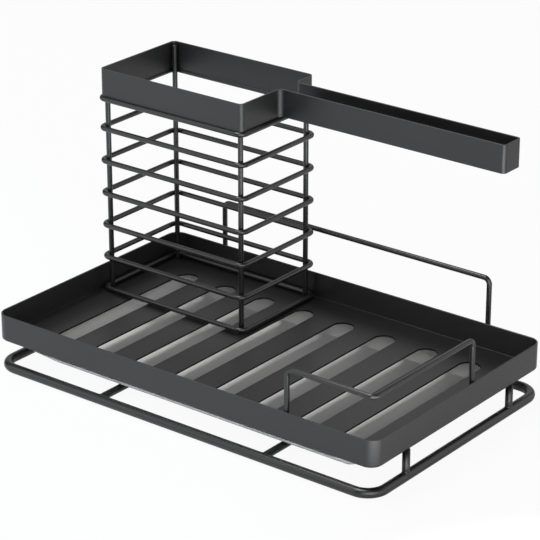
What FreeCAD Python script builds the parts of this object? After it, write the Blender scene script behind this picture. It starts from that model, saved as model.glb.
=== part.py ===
import FreeCAD, Part
import math
import os

import Sketcher

# Kitchen sink caddy: a slotted drain tray on a bent wire base, with two wire guards, a loose brush basket
# whose rim strip runs on into a towel arm, and a drip pan that slides out to the front.
# Frame: +X to the right, +Y to the rear, +Z up. The origin is on the counter under the tray's centre.

doc = FreeCAD.newDocument("SinkCaddy")
Vector = FreeCAD.Vector
UP = Vector(0, 0, 1)
QUARTER_TURN = 90
TINY = 1e-6

# Driving sizes in millimetres
SIZES = {
    # Drain tray, drawn from sheet
    "tray_length": "260",
    "tray_width": "156.4",
    "tray_depth": "15.8",
    "tray_sheet": "1",
    "tray_corner": "7.5",
    "tray_bend_inside": "0.5",
    "tray_lift": "18",
    "slot_count": "8",
    "slot_width": "12.8",
    "slot_side_margin": "22.85",
    "slot_front_margin": "13.8",
    "slot_rear_margin": "18.8",
    # Wire base under the tray
    "ring_wire": "5.5",
    "ring_corner": "11",
    "ring_overhang_side": "1.3",
    "ring_overhang_front": "2",
    "post_wire": "4.2",
    "post_inset": "29.4",
    "bar_wire": "4.2",
    "bar_spacing": "113",
    "bar_shift": "2",
    "bar_drop": "0.2",
    # Wire guards on the tray walls
    "guard_wire": "3",
    "guard_bend": "3.6",
    "guard_lap": "12",
    "rear_guard_inset": "36.8",
    "rear_guard_rise": "26.2",
    "corner_guard_rise": "23.5",
    "corner_guard_front": "54.6",
    "corner_guard_side": "87.9",
    # Brush basket of hoops and uprights
    "basket_length": "106",
    "basket_width": "69",
    "basket_height": "135.4",
    "basket_wire": "3",
    "basket_clearance": "0.6",
    "stand_gap": "0.3",
    "hoop_count": "7",
    "hoop_top_gap": "17.8",
    "upright_drop": "1.5",
    # Rim strip with the towel arm
    "band_height": "16",
    "band_sheet": "1",
    "band_stand_off": "0.6",
    "arm_length": "147.2",
    "arm_width": "15.6",
    "arm_setback": "15.6",
    "arm_corner": "2.4",
    "neck_corner": "3",
    # Drip pan on the base bars
    "pan_sheet": "0.8",
    "pan_side_inset": "12",
    "pan_front_inset": "3.2",
    "pan_slope_run": "14",
    "pan_corner": "4",
    "pan_bend_inside": "1.2",
    "pan_clearance": "0.3",
    "pan_headroom": "2",
    # Welded wires stand this far apart, so that their round faces do not cut into each other
    "weld_gap": "0.05",
}

# Places and fits that follow from the driving sizes
FITS = {
    "tray_right": "Sizes.tray_length / 2",
    "tray_left": "-tray_right",
    "tray_rear": "Sizes.tray_width / 2",
    "tray_front": "-tray_rear",
    "tray_bend": "Sizes.tray_bend_inside + Sizes.tray_sheet",
    "inside_right": "tray_right - Sizes.tray_sheet",
    "inside_rear": "tray_rear - Sizes.tray_sheet",
    "floor_top": "Sizes.tray_lift + Sizes.tray_sheet",
    "wall_top": "Sizes.tray_lift + Sizes.tray_depth",
    "slot_radius": "Sizes.slot_width / 2",
    "slot_first": "-inside_right + Sizes.slot_side_margin + slot_radius",
    "slot_span": "-2 * slot_first",
    "slot_front": "-inside_rear + Sizes.slot_front_margin + slot_radius",
    "slot_rear": "inside_rear - Sizes.slot_rear_margin - slot_radius",
    "slot_cut": "2 * Sizes.tray_sheet",
    "ring_radius": "Sizes.ring_wire / 2",
    "ring_right": "tray_right + Sizes.ring_overhang_side - ring_radius",
    "ring_left": "-ring_right",
    "ring_rear": "tray_rear + Sizes.ring_overhang_front - ring_radius",
    "ring_front": "-ring_rear",
    "post_radius": "Sizes.post_wire / 2",
    "post_rear": "ring_rear - Sizes.post_inset",
    "post_length": "Sizes.tray_lift - ring_radius",
    "bar_radius": "Sizes.bar_wire / 2",
    "bar_right": "Sizes.bar_shift + Sizes.bar_spacing / 2",
    "bar_left": "bar_right - Sizes.bar_spacing",
    "bar_level": "Sizes.ring_wire - Sizes.bar_drop - bar_radius",
    "bar_length": "2 * ring_rear",
    "bar_below_ring": "ring_radius - bar_level",
    "guard_radius": "Sizes.guard_wire / 2",
    "guard_leg_end": "-Sizes.guard_lap",
    "rear_guard_right": "tray_right - Sizes.rear_guard_inset",
    "rear_guard_left": "-rear_guard_right",
    "rear_guard_y": "tray_rear + Sizes.weld_gap + guard_radius",
    "corner_guard_leg": "-Sizes.corner_guard_front",
    "corner_guard_turn": "-Sizes.guard_bend",
    "corner_guard_x": "inside_right - Sizes.weld_gap - guard_radius",
    "corner_guard_y": "-inside_rear + Sizes.weld_gap + guard_radius",
    "wire_radius": "Sizes.basket_wire / 2",
    "basket_x": "-inside_right + Sizes.basket_clearance + Sizes.basket_length / 2",
    "basket_y": "inside_rear - Sizes.basket_clearance - Sizes.basket_width / 2",
    "basket_foot": "floor_top + Sizes.stand_gap",
    "basket_top": "basket_foot + Sizes.basket_height",
    "band_foot": "basket_top - Sizes.band_height",
    "hoop_corner": "Sizes.tray_corner - Sizes.tray_sheet - Sizes.basket_clearance - wire_radius",
    "hoop_right": "Sizes.basket_length / 2 - wire_radius",
    "hoop_left": "-hoop_right",
    "hoop_rear": "Sizes.basket_width / 2 - wire_radius",
    "hoop_front": "-hoop_rear",
    "hoop_low_level": "basket_foot + wire_radius",
    "hoop_top_level": "band_foot - Sizes.weld_gap - wire_radius",
    "hoop_rise": "hoop_top_level - Sizes.hoop_top_gap - hoop_low_level",
    "hoop_pitch": "hoop_rise / (Sizes.hoop_count - 2)",
    "upright_touch": "Sizes.basket_wire + Sizes.weld_gap",
    "upright_nest": "hoop_corner - (hoop_corner - upright_touch) * sqrt(0.5)",
    "upright_inset": "max(upright_touch; upright_nest)",
    "upright_right": "hoop_right - upright_inset",
    "upright_rear": "hoop_rear - upright_inset",
    "upright_length": "Sizes.basket_height - Sizes.upright_drop",
    "band_corner": "wire_radius + Sizes.band_stand_off + Sizes.band_sheet",
    "band_right": "upright_right + band_corner",
    "band_left": "-band_right",
    "band_rear": "upright_rear + band_corner",
    "band_front": "-band_rear",
    "arm_end": "band_right + Sizes.arm_length",
    "arm_rear": "band_rear - Sizes.arm_setback",
    "arm_front": "arm_rear - Sizes.arm_width",
    "pan_base": "Sizes.ring_wire + Sizes.pan_clearance",
    "pan_depth": "Sizes.tray_lift - Sizes.pan_headroom - pan_base",
    "pan_right": "tray_right - Sizes.pan_side_inset - Sizes.pan_slope_run",
    "pan_left": "-pan_right",
    "pan_rear": "tray_rear - Sizes.pan_front_inset - Sizes.pan_slope_run",
    "pan_front": "-pan_rear",
    "pan_slope": "atan(Sizes.pan_slope_run / pan_depth)",
    "pan_draw_in": "Sizes.pan_sheet / cos(pan_slope) - Sizes.pan_sheet * tan(pan_slope)",
    "pan_inside_right": "pan_right - pan_draw_in",
    "pan_inside_left": "-pan_inside_right",
    "pan_inside_rear": "pan_rear - pan_draw_in",
    "pan_inside_front": "-pan_inside_rear",
    "pan_inside_corner": "Sizes.pan_corner - pan_draw_in",
    "pan_bend": "Sizes.pan_bend_inside + Sizes.pan_sheet",
}


def fill_sheet(name, rows, mark=""):
    """A sheet of named cells: the name in column A, the number or formula in column B."""
    sheet = doc.addObject("Spreadsheet::Sheet", name)
    for row, (alias, content) in enumerate(rows.items(), start=1):
        sheet.set(f"A{row}", alias)
        sheet.set(f"B{row}", mark + content)
        sheet.setAlias(f"B{row}", alias)
    doc.recompute()


fill_sheet("Sizes", SIZES)
fill_sheet("Fits", FITS, mark="=")


def number(link):
    """The present value of a linked cell, such as Sizes.tray_length."""
    sheet_name, alias = link.split(".")
    return float(doc.getObject(sheet_name).get(alias))


def bind(thing, **links):
    """Ties properties of an object to sheet cells or formulas."""
    for name, link in links.items():
        thing.setExpression(name, link)


def place(thing, x="0", y="0", z="0"):
    """Ties a sub-part's Placement to sheet cells or formulas."""
    for axis, link in zip("xyz", (x, y, z)):
        thing.setExpression(f".Placement.Base.{axis}", link)


def new_body(name):
    body = doc.addObject("PartDesign::Body", name)
    body.Label = name
    return body


def new_sketch(body, role, name):
    """A sketch on one of the body's own origin planes."""
    sketch = body.newObject("Sketcher::SketchObject", f"{body.Name}_{name}")
    plane = next(feature for feature in body.Origin.OriginFeatures if feature.Role == role)
    sketch.AttachmentSupport = [(plane, "")]
    sketch.MapMode = "FlatFace"
    return sketch


def shift(sketch, link):
    """Moves a sketch off its plane by a sheet cell."""
    sketch.setExpression(".AttachmentOffset.Base.z", link)


def new_feature(body, kind, name):
    return body.newObject(f"PartDesign::{kind}", f"{body.Name}_{name}")


def measure(sketch, kind, *where, link):
    """Adds a dimension to a sketch and ties it to a sheet cell."""
    index = sketch.addConstraint(Sketcher.Constraint(kind, *where, number(link)))
    sketch.setExpression(f"Constraints[{index}]", link)


def path_corners(sides, start, end):
    """The sharp corners of a path of straight sides, with the first side's start and the last one's end."""
    places = [(axis, number(link)) for axis, link in sides]
    corners = []
    for here, after in zip(places, places[1:]):
        found = dict([here, after])
        corners.append(Vector(found["x"], found["y"], 0))
    other = {"x": "y", "y": "x"}
    first_stop = (other[sides[0][0]], number(start)) if start else places[-1]
    last_stop = (other[sides[-1][0]], number(end)) if end else places[0]
    first = dict([places[0], first_stop])
    last = dict([places[-1], last_stop])
    return [Vector(first["x"], first["y"], 0)] + corners + [Vector(last["x"], last["y"], 0)]


def draw_path(sketch, sides, bends, start=None, end=None):
    """Straight sides along the sketch axes, joined by tangent bends.

    A side is an axis and the cell that says where on that axis it lies. bends has one cell for each corner.
    The path is closed, unless start and end give the cells where its first and last sides stop.
    """
    closed = start is None
    count = len(sides)
    corners = path_corners(sides, start, end)
    headings = [(after - before).normalize() for before, after in zip(corners, corners[1:])]
    radii = [number(link) for link in bends]

    for k, heading in enumerate(headings):
        begins = corners[k]
        stops = corners[k + 1]
        if closed or k > 0:
            begins = begins + heading * radii[k - 1]
        if closed or k < count - 1:
            stops = stops - heading * radii[k]
        sketch.addGeometry(Part.LineSegment(begins, stops))
    for k, radius in enumerate(radii):
        after = (k + 1) % count
        arrive = headings[k]
        leave = headings[after]
        turns_left = arrive.cross(leave).z > 0
        centre = corners[k + 1] + (leave - arrive) * radius
        opening = leave * -1 if turns_left else arrive
        angle = math.atan2(opening.y, opening.x)
        circle = Part.Circle(centre, UP, radius)
        arc = sketch.addGeometry(Part.ArcOfCircle(circle, angle, angle + math.pi / 2))
        near, far = (1, 2) if turns_left else (2, 1)
        sketch.addConstraint(Sketcher.Constraint("Tangent", k, 2, arc, near))
        sketch.addConstraint(Sketcher.Constraint("Tangent", arc, far, after, 1))
        measure(sketch, "Radius", arc, link=bends[k])
    along = {"x": ("Vertical", "DistanceX", "DistanceY"), "y": ("Horizontal", "DistanceY", "DistanceX")}
    for k, (axis, link) in enumerate(sides):
        sketch.addConstraint(Sketcher.Constraint(along[axis][0], k))
        measure(sketch, along[axis][1], -1, 1, k, 1, link=link)
    if not closed:
        measure(sketch, along[sides[0][0]][2], -1, 1, 0, 1, link=start)
        measure(sketch, along[sides[-1][0]][2], -1, 1, count - 1, 2, link=end)


def draw_box(sketch, edge, corner):
    """A closed rectangle with equal round corners, whose sides lie at four cells that share a name."""
    sides = [("y", f"{edge}_front"), ("x", f"{edge}_right"), ("y", f"{edge}_rear"), ("x", f"{edge}_left")]
    draw_path(sketch, sides, [corner] * len(sides))


def draw_circle(sketch, radius, x=None, y=None):
    """A circle on the sketch axes, or off them by the given cells."""
    centre = Vector(number(x) if x else 0, number(y) if y else 0, 0)
    circle = sketch.addGeometry(Part.Circle(centre, UP, number(radius)))
    measure(sketch, "Radius", circle, link=radius)
    for link, kind, axis in ((x, "DistanceX", -2), (y, "DistanceY", -1)):
        if link:
            measure(sketch, kind, -1, 1, circle, 3, link=link)
        else:
            sketch.addConstraint(Sketcher.Constraint("PointOnObject", circle, 3, axis))


def draw_slot(sketch, radius, x, front, rear):
    """A slot along the sketch's Y axis, with round ends about two centres."""
    ends = [Vector(number(x), number(link), 0) for link in (front, rear)]
    side = Vector(number(radius), 0, 0)
    right = sketch.addGeometry(Part.LineSegment(ends[0] + side, ends[1] + side))
    left = sketch.addGeometry(Part.LineSegment(ends[1] - side, ends[0] - side))
    front_arc = sketch.addGeometry(Part.ArcOfCircle(Part.Circle(ends[0], UP, side.x), math.pi, 2 * math.pi))
    rear_arc = sketch.addGeometry(Part.ArcOfCircle(Part.Circle(ends[1], UP, side.x), 0, math.pi))
    for first, first_point, second, second_point in (
        (front_arc, 2, right, 1),
        (right, 2, rear_arc, 1),
        (rear_arc, 2, left, 1),
        (left, 2, front_arc, 1),
    ):
        sketch.addConstraint(Sketcher.Constraint("Tangent", first, first_point, second, second_point))
    sketch.addConstraint(Sketcher.Constraint("Equal", front_arc, rear_arc))
    sketch.addConstraint(Sketcher.Constraint("Vertical", right))
    measure(sketch, "Radius", rear_arc, link=radius)
    measure(sketch, "DistanceX", -1, 1, rear_arc, 3, link=x)
    measure(sketch, "DistanceY", -1, 1, rear_arc, 3, link=rear)
    measure(sketch, "DistanceY", -1, 1, front_arc, 3, link=front)


def sweep(body, name, profile, path):
    """A wire: the round profile carried along every edge of the path."""
    doc.recompute()
    pipe = new_feature(body, "AdditivePipe", name)
    pipe.Profile = profile
    pipe.Spine = (path, [f"Edge{k + 1}" for k in range(len(path.Shape.Edges))])


def level_names(kind, elements, height):
    """Names of the edges or faces that lie level at one height of the body."""
    names = []
    for k, element in enumerate(elements, start=1):
        box = element.BoundBox
        if box.ZLength < TINY and abs(box.ZMin - height) < TINY:
            names.append(f"{kind}{k}")
    return names


def round_level_edges(body, base, name, height, radius):
    """Rounds the edges between a sheet piece's floor and its walls."""
    doc.recompute()
    bend = new_feature(body, "Fillet", name)
    bend.Base = (base, level_names("Edge", base.Shape.Edges, height))
    bind(bend, Radius=radius)
    return bend


def hollow(body, base, heights, sheet):
    """Leaves an even sheet behind the outer faces, open at the level faces of the given heights."""
    doc.recompute()
    openings = []
    for height in heights:
        openings += level_names("Face", base.Shape.Faces, height)
    shell = new_feature(body, "Thickness", "shell")
    shell.Base = (base, openings)
    shell.Reversed = True
    bind(shell, Value=sheet)


def make_drain_tray():
    """Sheet tray with rounded corners and a row of long round-ended drain slots in its floor."""
    body = new_body("drain_tray")
    outline = new_sketch(body, "XY_Plane", "outline")
    draw_box(outline, "Fits.tray", "Sizes.tray_corner")
    block = new_feature(body, "Pad", "block")
    block.Profile = outline
    bind(block, Length="Sizes.tray_depth")
    bend = round_level_edges(body, block, "bend", 0, "Fits.tray_bend")
    hollow(body, bend, [number("Sizes.tray_depth")], "Sizes.tray_sheet")

    slot = new_sketch(body, "XY_Plane", "slot")
    draw_slot(slot, "Fits.slot_radius", "Fits.slot_first", "Fits.slot_front", "Fits.slot_rear")
    doc.recompute()
    closed_volume = body.Shape.Volume
    cut = new_feature(body, "Pocket", "slot_cut")
    cut.Profile = slot
    cut.Reversed = True
    bind(cut, Length="Fits.slot_cut")
    row = new_feature(body, "LinearPattern", "slot_row")
    row.Originals = [cut]
    row.Direction = (slot, ["H_Axis"])
    bind(row, Length="Fits.slot_span", Occurrences="Sizes.slot_count")
    body.Tip = row
    doc.recompute()
    if body.Shape.Volume >= closed_volume:
        raise RuntimeError("the drain slots cut nothing from the tray floor")
    place(body, z="Sizes.tray_lift")
    return body


def make_loop(name, edge, corner, radius):
    """A closed wire hoop, bent round four corners and welded end to end."""
    body = new_body(name)
    path = new_sketch(body, "XY_Plane", "path")
    draw_box(path, edge, corner)
    profile = new_sketch(body, "YZ_Plane", "profile")
    draw_circle(profile, radius, x=f"{edge}_front")
    sweep(body, "wire", profile, path)
    return body


def make_base_ring():
    """Thick wire loop that stands on the counter."""
    ring = make_loop("base_ring", "Fits.ring", "Sizes.ring_corner", "Fits.ring_radius")
    place(ring, z="Fits.ring_radius")
    return ring


def make_cross_bar(name, x):
    """Straight bar between the ring's front and rear sides, with ends shaped to the ring's wire."""
    body = new_body(name)
    section = new_sketch(body, "XZ_Plane", "section")
    draw_circle(section, "Fits.bar_radius")
    rod = new_feature(body, "Pad", "rod")
    rod.Profile = section
    rod.SideType = "Symmetric"
    bind(rod, Length="Fits.bar_length")
    saddle = new_sketch(body, "YZ_Plane", "saddle")
    draw_circle(saddle, "Fits.ring_radius", x="Fits.ring_front", y="Fits.bar_below_ring")
    draw_circle(saddle, "Fits.ring_radius", x="Fits.ring_rear", y="Fits.bar_below_ring")
    cope = new_feature(body, "Pocket", "cope")
    cope.Profile = saddle
    cope.SideType = "Symmetric"
    bind(cope, Length="2 * Sizes.bar_wire")
    place(body, x, "0", "Fits.bar_level")
    return body


def make_post(name, x, y):
    """Short post from the ring up to the tray's underside, with its foot shaped to the ring's wire."""
    body = new_body(name)
    section = new_sketch(body, "XY_Plane", "section")
    draw_circle(section, "Fits.post_radius")
    rod = new_feature(body, "Pad", "rod")
    rod.Profile = section
    bind(rod, Length="Fits.post_length")
    saddle = new_sketch(body, "XZ_Plane", "saddle")
    draw_circle(saddle, "Fits.ring_radius")
    cope = new_feature(body, "Pocket", "cope")
    cope.Profile = saddle
    cope.SideType = "Symmetric"
    bind(cope, Length="2 * Sizes.post_wire")
    place(body, x, y, "Fits.ring_radius")
    return body


def leg_profile(body, name, **centre):
    """The round section of a guard's wire, at the lower end of a leg."""
    profile = new_sketch(body, "XY_Plane", name)
    shift(profile, "Fits.guard_leg_end")
    draw_circle(profile, "Fits.guard_radius", **centre)
    return profile


def make_rear_guard():
    """Low wire rail on two legs, welded to the outside of the rear wall.

    The body's origin is at the height of the wall's top edge.
    """
    body = new_body("rear_guard")
    path = new_sketch(body, "XZ_Plane", "path")
    sides = [("x", "Fits.rear_guard_left"), ("y", "Sizes.rear_guard_rise"), ("x", "Fits.rear_guard_right")]
    draw_path(path, sides, ["Sizes.guard_bend"] * 2, "Fits.guard_leg_end", "Fits.guard_leg_end")
    sweep(body, "wire", leg_profile(body, "profile", x="Fits.rear_guard_left"), path)
    place(body, y="Fits.rear_guard_y", z="Fits.wall_top")
    return body


def make_corner_guard():
    """Wire rail that turns the tray's front right corner, with a leg inside the front and the right wall.

    The body's origin is where the lines of the two rails meet, at the height of the walls' top edges.
    """
    body = new_body("corner_guard")
    front_path = new_sketch(body, "XZ_Plane", "front_path")
    front_sides = [("x", "Fits.corner_guard_leg"), ("y", "Sizes.corner_guard_rise")]
    draw_path(front_path, front_sides, ["Sizes.guard_bend"], "Fits.guard_leg_end", "Fits.corner_guard_turn")
    sweep(body, "front_wire", leg_profile(body, "front_profile", x="Fits.corner_guard_leg"), front_path)

    turn_profile = new_sketch(body, "XZ_Plane", "turn_profile")
    shift(turn_profile, "Fits.corner_guard_turn")
    draw_circle(turn_profile, "Fits.guard_radius", y="Sizes.corner_guard_rise")
    axis_foot = Vector(number("Fits.corner_guard_turn"), 0, 0)
    axis_top = Vector(axis_foot.x, number("Sizes.corner_guard_rise"), 0)
    turn_axis = turn_profile.addGeometry(Part.LineSegment(axis_foot, axis_top), True)
    turn_profile.addConstraint(Sketcher.Constraint("Vertical", turn_axis))
    turn_profile.addConstraint(Sketcher.Constraint("PointOnObject", turn_axis, 1, -1))
    measure(turn_profile, "DistanceX", -1, 1, turn_axis, 1, link="Fits.corner_guard_turn")
    measure(turn_profile, "DistanceY", -1, 1, turn_axis, 2, link="Sizes.corner_guard_rise")
    doc.recompute()
    turn = new_feature(body, "Revolution", "turn")
    turn.Profile = turn_profile
    turn.ReferenceAxis = (turn_profile, ["Axis0"])
    turn.Angle = QUARTER_TURN
    turn.Reversed = True
    doc.recompute()

    side_path = new_sketch(body, "YZ_Plane", "side_path")
    side_sides = [("x", "Sizes.corner_guard_side"), ("y", "Sizes.corner_guard_rise")]
    draw_path(side_path, side_sides, ["Sizes.guard_bend"], "Fits.guard_leg_end", "Sizes.guard_bend")
    sweep(body, "side_wire", leg_profile(body, "side_profile", y="Sizes.corner_guard_side"), side_path)
    place(body, "Fits.corner_guard_x", "Fits.corner_guard_y", "Fits.wall_top")
    return body


def make_hoop(index, level):
    """One of the basket's hoops, which nests in the tray's rear left corner."""
    hoop = make_loop(f"hoop_{index}", "Fits.hoop", "Fits.hoop_corner", "Fits.wire_radius")
    place(hoop, "Fits.basket_x", "Fits.basket_y", level)
    return hoop


def make_upright(name, x_sign, y_sign):
    """Straight wire in a corner of the basket, welded inside the hoops and behind the rim strip."""
    upright = doc.addObject("Part::Cylinder", name)
    upright.Label = name
    bind(upright, Radius="Fits.wire_radius", Height="Fits.upright_length")
    x = f"Fits.basket_x {x_sign} Fits.upright_right"
    y = f"Fits.basket_y {y_sign} Fits.upright_rear"
    place(upright, x, y, "Fits.basket_foot")
    return upright


def make_rim_band():
    """Flat strip bent into the basket's rim and on round the long towel arm, back to where it began.

    It stands on the top hoop, and the uprights end a little inside it.
    """
    body = new_body("rim_band")
    outline = new_sketch(body, "XY_Plane", "outline")
    sides = [
        ("y", "Fits.band_front"),
        ("x", "Fits.band_right"),
        ("y", "Fits.arm_front"),
        ("x", "Fits.arm_end"),
        ("y", "Fits.arm_rear"),
        ("x", "Fits.band_right"),
        ("y", "Fits.band_rear"),
        ("x", "Fits.band_left"),
    ]
    bends = [
        "Fits.band_corner",
        "Sizes.neck_corner",
        "Sizes.arm_corner",
        "Sizes.arm_corner",
        "Sizes.neck_corner",
        "Fits.band_corner",
        "Fits.band_corner",
        "Fits.band_corner",
    ]
    draw_path(outline, sides, bends)
    block = new_feature(body, "Pad", "block")
    block.Profile = outline
    bind(block, Length="Sizes.band_height")
    hollow(body, block, [0, number("Sizes.band_height")], "Sizes.band_sheet")
    place(body, "Fits.basket_x", "Fits.basket_y", "Fits.band_foot")
    return body


def make_drip_pan():
    """Shallow steel pan with sloping sides, coated light grey, which rests on the cross bars."""
    body = new_body("drip_pan")
    outline = new_sketch(body, "XY_Plane", "outline")
    draw_box(outline, "Fits.pan", "Sizes.pan_corner")
    block = new_feature(body, "Pad", "block")
    block.Profile = outline
    bind(block, Length="Fits.pan_depth", TaperAngle="Fits.pan_slope")
    doc.recompute()

    inside = new_sketch(body, "XY_Plane", "inside")
    shift(inside, "Sizes.pan_sheet")
    draw_box(inside, "Fits.pan_inside", "Fits.pan_inside_corner")
    well = new_feature(body, "Pocket", "well")
    well.Profile = inside
    well.Reversed = True
    bind(well, Length="Fits.pan_depth - Sizes.pan_sheet", TaperAngle="Fits.pan_slope")
    doc.recompute()
    if body.Shape.Volume >= block.Shape.Volume:
        raise RuntimeError("the drip pan was not hollowed")
    bend = round_level_edges(body, well, "bend", 0, "Fits.pan_bend")
    round_level_edges(body, bend, "bend_inside", number("Sizes.pan_sheet"), "Sizes.pan_bend_inside")
    place(body, z="Fits.pan_base")
    return body


subparts = [make_drain_tray(), make_base_ring()]
for side in ("left", "right"):
    subparts.append(make_cross_bar(f"cross_bar_{side}", f"Fits.bar_{side}"))
for end, y in (("front", "-Fits.post_rear"), ("rear", "Fits.post_rear")):
    for side, x in (("left", "Fits.ring_left"), ("right", "Fits.ring_right")):
        subparts.append(make_post(f"post_{end}_{side}", x, y))
subparts.append(make_rear_guard())
subparts.append(make_corner_guard())

hoop_count = int(number("Sizes.hoop_count"))
for k in range(hoop_count - 1):
    subparts.append(make_hoop(k + 1, f"Fits.hoop_low_level + {k} * Fits.hoop_pitch"))
subparts.append(make_hoop(hoop_count, "Fits.hoop_top_level"))
for end, y_sign in (("front", "-"), ("rear", "+")):
    for side, x_sign in (("left", "-"), ("right", "+")):
        subparts.append(make_upright(f"upright_{end}_{side}", x_sign, y_sign))
subparts.append(make_rim_band())
subparts.append(make_drip_pan())
doc.recompute()

for thing in doc.Objects:
    if "Invalid" in thing.State or "Error" in thing.State:
        raise RuntimeError(f"{thing.Label} did not build: {thing.State}")
for piece in subparts:
    if piece.Shape.isNull() or not piece.Shape.isValid() or len(piece.Shape.Solids) != 1:
        raise RuntimeError(f"{piece.Label} is not one sound solid")

os.makedirs("parts", exist_ok=True)
for piece in subparts:
    piece.Shape.exportStep(f"parts/{piece.Label}.step")
    box = piece.Shape.BoundBox
    print(f"{piece.Label}: {piece.Shape.Volume:.0f} mm3, x {box.XMin:.1f} to {box.XMax:.1f},"
          f" y {box.YMin:.1f} to {box.YMax:.1f}, z {box.ZMin:.1f} to {box.ZMax:.1f}")
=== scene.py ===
import math

import bmesh
import bpy
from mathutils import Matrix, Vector


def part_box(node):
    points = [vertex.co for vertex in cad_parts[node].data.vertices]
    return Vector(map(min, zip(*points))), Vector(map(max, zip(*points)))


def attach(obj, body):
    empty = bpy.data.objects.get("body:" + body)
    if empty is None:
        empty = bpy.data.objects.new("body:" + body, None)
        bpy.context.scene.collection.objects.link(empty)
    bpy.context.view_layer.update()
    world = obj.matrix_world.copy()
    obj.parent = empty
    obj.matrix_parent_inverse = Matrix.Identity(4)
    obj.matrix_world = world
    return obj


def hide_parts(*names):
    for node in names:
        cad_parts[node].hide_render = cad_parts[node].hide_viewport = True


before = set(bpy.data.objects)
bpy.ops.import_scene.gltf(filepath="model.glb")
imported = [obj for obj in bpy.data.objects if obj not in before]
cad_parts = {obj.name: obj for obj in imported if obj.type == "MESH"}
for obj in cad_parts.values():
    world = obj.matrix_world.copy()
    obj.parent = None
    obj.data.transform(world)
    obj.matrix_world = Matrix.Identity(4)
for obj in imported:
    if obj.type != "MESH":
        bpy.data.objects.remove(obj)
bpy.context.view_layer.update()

# Base ring
# The loop of thick steel wire that the caddy stands on. It is bent round four corners, butt-welded end to end
# and powder-coated dark grey, together with everything that is welded to it.
ring_low, ring_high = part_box("base_ring")
ring_radius = (ring_high.z - ring_low.z) / 2
ring_axis_height = ring_low.z + ring_radius
ring_bend = 0.011
ring_steps = 16
ring_sides = 32
wire_nose = 0.25
wire_nose_steps = 3
wire_seam_gap = 0.0000001
wire_roughness = (0.27, 0.34)
coat_colours = ((0.0030, 0.0031, 0.0033, 1), (0.0056, 0.0058, 0.0062, 1))
coat_shine = 0.84
coat_bump_strength = 0.2
coat_bump_depth = 0.00003
coat_drift_scale = 22
coat_gloss_range = (0.35, 0.65)
coat_fleck_range = (0.5, 0.72)
coat_fleck_height = 0.35


def add_sockets(tree, inputs, outputs):
    """Gives a node tree its named inputs and outputs."""
    for direction, sockets in (("INPUT", inputs), ("OUTPUT", outputs)):
        for name, kind in sockets.items():
            tree.interface.new_socket(name, in_out=direction, socket_type=f"NodeSocket{kind}")


def add_node(tree, kind, inputs=None, **settings):
    """A node with its settings, and each named input linked to a socket or set to a value."""
    node = tree.nodes.new(kind)
    for name, value in settings.items():
        setattr(node, name, value)
    for name, source in (inputs or {}).items():
        if isinstance(source, bpy.types.NodeSocket):
            tree.links.new(source, node.inputs[name])
        else:
            node.inputs[name].default_value = source
    return node


def result_of(tree, kind, inputs=None, **settings):
    """What a new node puts out first."""
    return add_node(tree, kind, inputs, **settings).outputs[0]


def math_of(tree, operation, first, second=0):
    """What a new math node makes of one or two values."""
    return result_of(tree, "ShaderNodeMath", {0: first, 1: second}, operation=operation)


def noise_at(tree, coordinates, scale, detail):
    """Noise whose scale is in spots per metre."""
    settings = {"Vector": coordinates, "Scale": scale, "Detail": detail}
    return add_node(tree, "ShaderNodeTexNoise", settings).outputs["Fac"]


def mapped(tree, value, low, high, new_low, new_high):
    """A value carried from one range to another, and held inside the new one."""
    settings = {"Value": value, "From Min": low, "From Max": high, "To Min": new_low, "To Max": new_high}
    return add_node(tree, "ShaderNodeMapRange", settings).outputs["Result"]


def build_coat_grain():
    """Powder coat up close: a fine orange peel, flecks in the colour and slow changes of gloss."""
    tree = bpy.data.node_groups.new("coat_grain", "ShaderNodeTree")
    add_sockets(
        tree,
        {"Peel scale": "Float", "Fleck scale": "Float", "Least roughness": "Float", "Most roughness": "Float"},
        {"Fleck": "Float", "Roughness": "Float", "Height": "Float"},
    )
    given = tree.nodes.new("NodeGroupInput").outputs
    place = add_node(tree, "ShaderNodeTexCoord").outputs["Object"]
    peel = noise_at(tree, place, given["Peel scale"], detail=2)
    fleck = noise_at(tree, place, given["Fleck scale"], detail=1)
    drift = noise_at(tree, place, coat_drift_scale, detail=2)
    gloss = math_of(tree, "ADD", drift, peel)
    half_gloss = math_of(tree, "MULTIPLY", gloss, 0.5)
    roughness = mapped(tree, half_gloss, *coat_gloss_range, given["Least roughness"], given["Most roughness"])
    fine = math_of(tree, "MULTIPLY", fleck, coat_fleck_height)
    height = math_of(tree, "ADD", peel, fine)
    results = {"Fleck": mapped(tree, fleck, *coat_fleck_range, 0, 1), "Roughness": roughness, "Height": height}
    add_node(tree, "NodeGroupOutput", results)
    return tree


coat_grain = build_coat_grain()


def new_material(name):
    """An empty node material, with the shader that its surface uses."""
    material = bpy.data.materials.new(name)
    material.use_nodes = True
    return material, material.node_tree, material.node_tree.nodes["Principled BSDF"]


def mixed(tree, mask, first, second):
    """The first colour where the mask is 0 and the second where it is 1.

    The node has sockets of the same names for numbers and vectors, so those for colours go by their places.
    """
    mask_in, first_in, second_in, colour_out = 0, 6, 7, 2
    sources = {mask_in: mask, first_in: first, second_in: second}
    return add_node(tree, "ShaderNodeMix", sources, data_type="RGBA").outputs[colour_out]


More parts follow.
